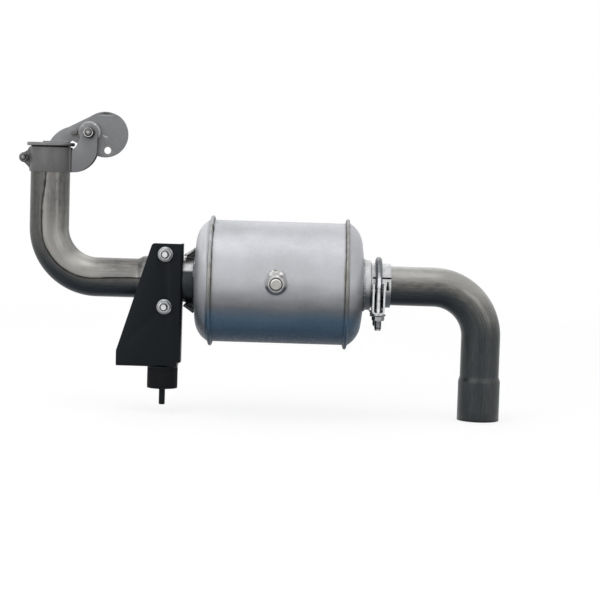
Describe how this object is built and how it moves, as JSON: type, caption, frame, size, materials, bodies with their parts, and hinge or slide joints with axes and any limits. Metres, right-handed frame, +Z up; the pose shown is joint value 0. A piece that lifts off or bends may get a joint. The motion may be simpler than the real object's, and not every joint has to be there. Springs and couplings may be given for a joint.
{
  "type": "spark arrestor muffler",
  "caption": "Horizontal spark arrestor muffler with an inlet elbow, a clamped split neck, a bracket on a rubber mount and an outlet elbow closed by a counterweighted rain cap.",
  "frame": {"origin": "centre of the inlet elbow's lower socket at its mouth", "axes": "+Z up out of the engine's pipe, +X along the muffler away from the rain cap, -Y to the side with the clean-out plug"},
  "size_m": [0.633, 0.1777, 0.3862],
  "materials": {
    "aluminised_sheet": "satin, heat-tinted at the seams",
    "neck_steel": "satin, rough at the welds",
    "inner_steel": "plain sheet",
    "raw_tube": "raw, streaked",
    "zinc_plate": "bright plated",
    "black_paint": "satin",
    "black_rubber": "matt",
    "gray_paint": "satin"
  },
  "bodies": {
    "muffler": {"bracket": "black_paint", "bracket_nuts": "zinc_plate", "bracket_u_bolt": "zinc_plate", "cap_clamp_bolt": "zinc_plate", "cap_clamp_front": "gray_paint", "cap_clamp_nut": "zinc_plate", "cap_clamp_rear": "gray_paint", "cleanout_boss": "neck_steel", "cleanout_plug": "zinc_plate", "inlet_baffle": "inner_steel", "inlet_clamp_nuts": "zinc_plate", "inlet_collar": "neck_steel", "inlet_elbow": "raw_tube", "inlet_head": "aluminised_sheet", "inlet_neck": "neck_steel", "inlet_saddle": "zinc_plate", "inlet_u_bolt": "zinc_plate", "inner_can": "inner_steel", "isolator_base_plate": "black_paint", "isolator_nut": "zinc_plate", "isolator_rubber": "black_rubber", "isolator_top_plate": "black_paint", "lower_gusset": "neck_steel", "outlet_baffle": "inner_steel", "outlet_collar": "neck_steel", "outlet_elbow": "raw_tube", "outlet_head": "aluminised_sheet", "outlet_tube": "neck_steel", "pivot_bolt": "zinc_plate", "pivot_nut": "zinc_plate", "pivot_spacers": "zinc_plate", "pivot_washers": "zinc_plate", "shell": "aluminised_sheet", "swirl_vanes": "inner_steel", "upper_gusset": "neck_steel"},
    "flapper": {"lid": "gray_paint", "flapper_arm": "gray_paint"}
  },
  "joints": [
    {"name": "flapper_hinge", "type": "hinge", "parent": "muffler", "child": "flapper", "pos_m": [-0.515, 0, 0.3589], "axis": [0, 1, 0], "range_deg": [0, 66]}
  ]
}
